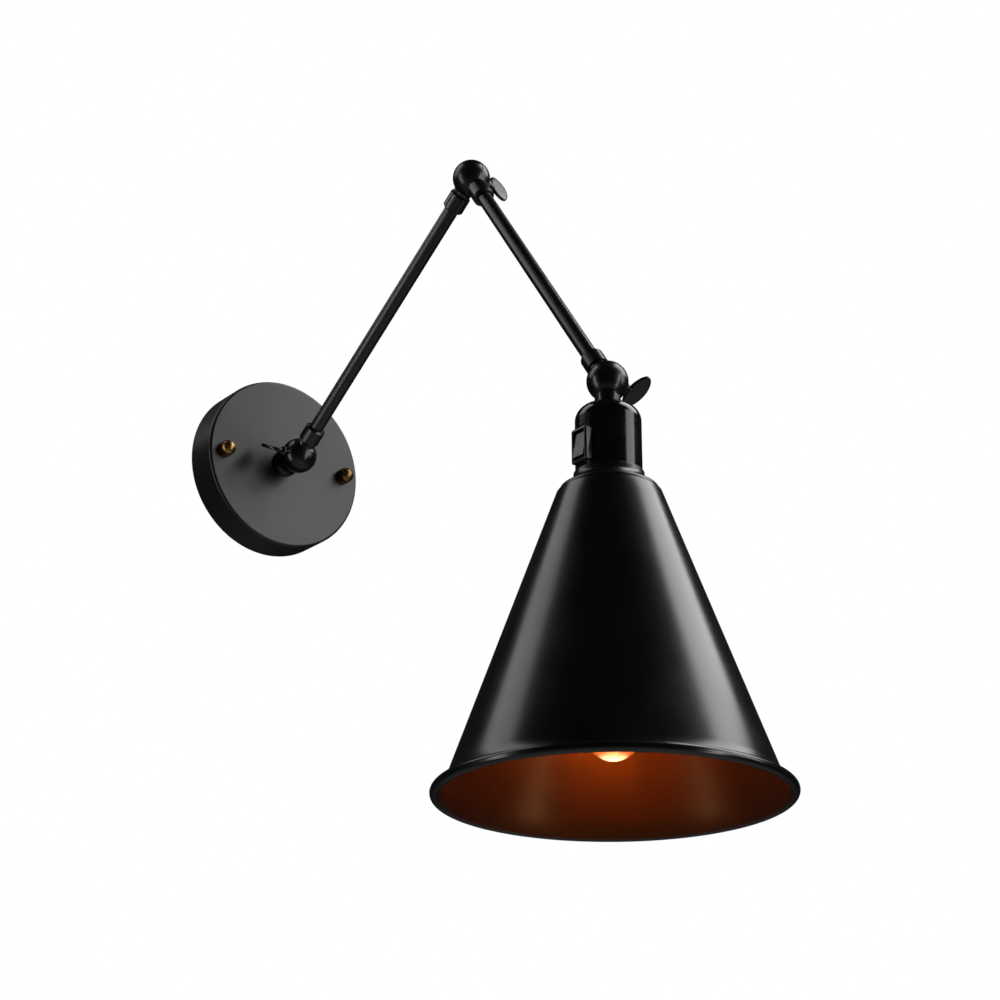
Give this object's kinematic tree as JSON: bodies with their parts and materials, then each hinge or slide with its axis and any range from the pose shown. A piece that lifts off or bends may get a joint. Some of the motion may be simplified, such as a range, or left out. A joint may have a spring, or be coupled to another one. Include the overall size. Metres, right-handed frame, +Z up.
{
  "type": "swing arm wall sconce",
  "caption": "Black wall lamp with a round canopy, jointed tube arms on ball knuckles with wing screws, a rocker switch and a conical metal shade.",
  "frame": {"origin": "on the wall, at the middle of the canopy and of the two wall screws", "axes": "+Z up, wall is the plane Y = 0, the lamp stands out along -Y, +X to the right seen from the room"},
  "size_m": [0.178, 0.4213, 0.4088],
  "materials": {
    "black_satin": "satin black baked enamel",
    "black_gloss": "gloss black baked enamel",
    "black_tube": "semi-gloss black enamel on steel tube",
    "black_wing": "black oxide",
    "black_plastic": "moulded black",
    "brass": "antique brass, lightly worn",
    "zinc": "zinc plated steel",
    "ground_green": "green dyed zinc",
    "wire_cover": "extruded insulation",
    "holder_insulator": "glazed porcelain",
    "cap_metal": "rolled thread, bright",
    "bulb_glass": "clear, faintly amber",
    "filament": "glowing carbon filament"
  },
  "bodies": {
    "wall_plate": {"canopy": "black_satin", "mounting_bracket": "zinc", "canopy_studs": "zinc", "canopy_nuts": "brass", "ground_screw": "ground_green"},
    "stem": {"stem_knuckle": "black_gloss", "stem_nipple": "zinc", "stem_washer": "zinc", "stem_locknut": "zinc"},
    "lower_arm": {"lower_arm_inner_knuckle": "black_gloss", "lower_arm_inner_collar": "black_gloss", "lower_arm_tube": "black_tube", "lower_arm_outer_collar": "black_gloss", "lower_arm_outer_knuckle": "black_gloss", "lower_arm_wires": "wire_cover", "wing_washer_1": "black_wing"},
    "upper_arm": {"upper_arm_inner_knuckle": "black_gloss", "upper_arm_inner_collar": "black_gloss", "upper_arm_tube": "black_tube", "upper_arm_outer_collar": "black_gloss", "upper_arm_outer_knuckle": "black_gloss", "upper_arm_wires": "wire_cover", "wing_washer_2": "black_wing", "wing_washer_3": "black_wing"},
    "lamp_head": {"head_knuckle": "black_gloss", "head_locknut": "zinc", "socket_cup": "black_gloss", "switch_bezel": "black_plastic", "switch_housing": "black_plastic", "lampholder": "holder_insulator", "screw_shell": "brass", "centre_contact": "brass", "fitter": "black_gloss", "shade": "black_satin", "shade_ring": "black_plastic"},
    "bulb": {"bulb_cap": "cap_metal", "bulb_glass": "bulb_glass", "bulb_stem": "bulb_glass", "filament": "filament"},
    "wing_1": {"wing_screw_1": "black_wing"},
    "wing_2": {"wing_screw_2": "black_wing"},
    "wing_3": {"wing_screw_3": "black_wing"},
    "rocker": {"switch_rocker": "black_plastic"}
  },
  "joints": [
    {"name": "stem_swivel", "type": "hinge", "parent": "wall_plate", "child": "stem", "pos_m": [0, -0.038, 0], "axis": [0, -1, 0], "range_deg": [-90, 90]},
    {"name": "wall_hinge", "type": "hinge", "parent": "stem", "child": "lower_arm", "pos_m": [0, -0.038, 0], "axis": [-1, 0, 0], "range_deg": [-20, 35]},
    {"name": "elbow_hinge", "type": "hinge", "parent": "lower_arm", "child": "upper_arm", "pos_m": [0, -0.21376, 0.11855], "axis": [-1, 0, 0], "range_deg": [-15, 75]},
    {"name": "shade_hinge", "type": "hinge", "parent": "upper_arm", "child": "lamp_head", "pos_m": [0, -0.33231, -0.05721], "axis": [-1, 0, 0], "range_deg": [-20, 75]},
    {"name": "wing_1_turn", "type": "hinge", "parent": "stem", "child": "wing_1", "pos_m": [0, -0.038, 0], "axis": [-1, 0, 0], "range_deg": [-180, 180]},
    {"name": "wing_2_turn", "type": "hinge", "parent": "lower_arm", "child": "wing_2", "pos_m": [0, -0.21376, 0.11855], "axis": [1, 0, 0], "range_deg": [-180, 180]},
    {"name": "wing_3_turn", "type": "hinge", "parent": "lamp_head", "child": "wing_3", "pos_m": [0, -0.33231, -0.05721], "axis": [1, 0, 0], "range_deg": [-180, 180]},
    {"name": "rocker_press", "type": "hinge", "parent": "lamp_head", "child": "rocker", "pos_m": [-0.0172, -0.3323, -0.09821], "axis": [0, -1, 0], "range_deg": [0, 14]},
    {"name": "bulb_turn", "type": "hinge", "parent": "lamp_head", "child": "bulb", "pos_m": [0, -0.3323, -0.11721], "axis": [0, 0, 1], "continuous": true}
  ]
}
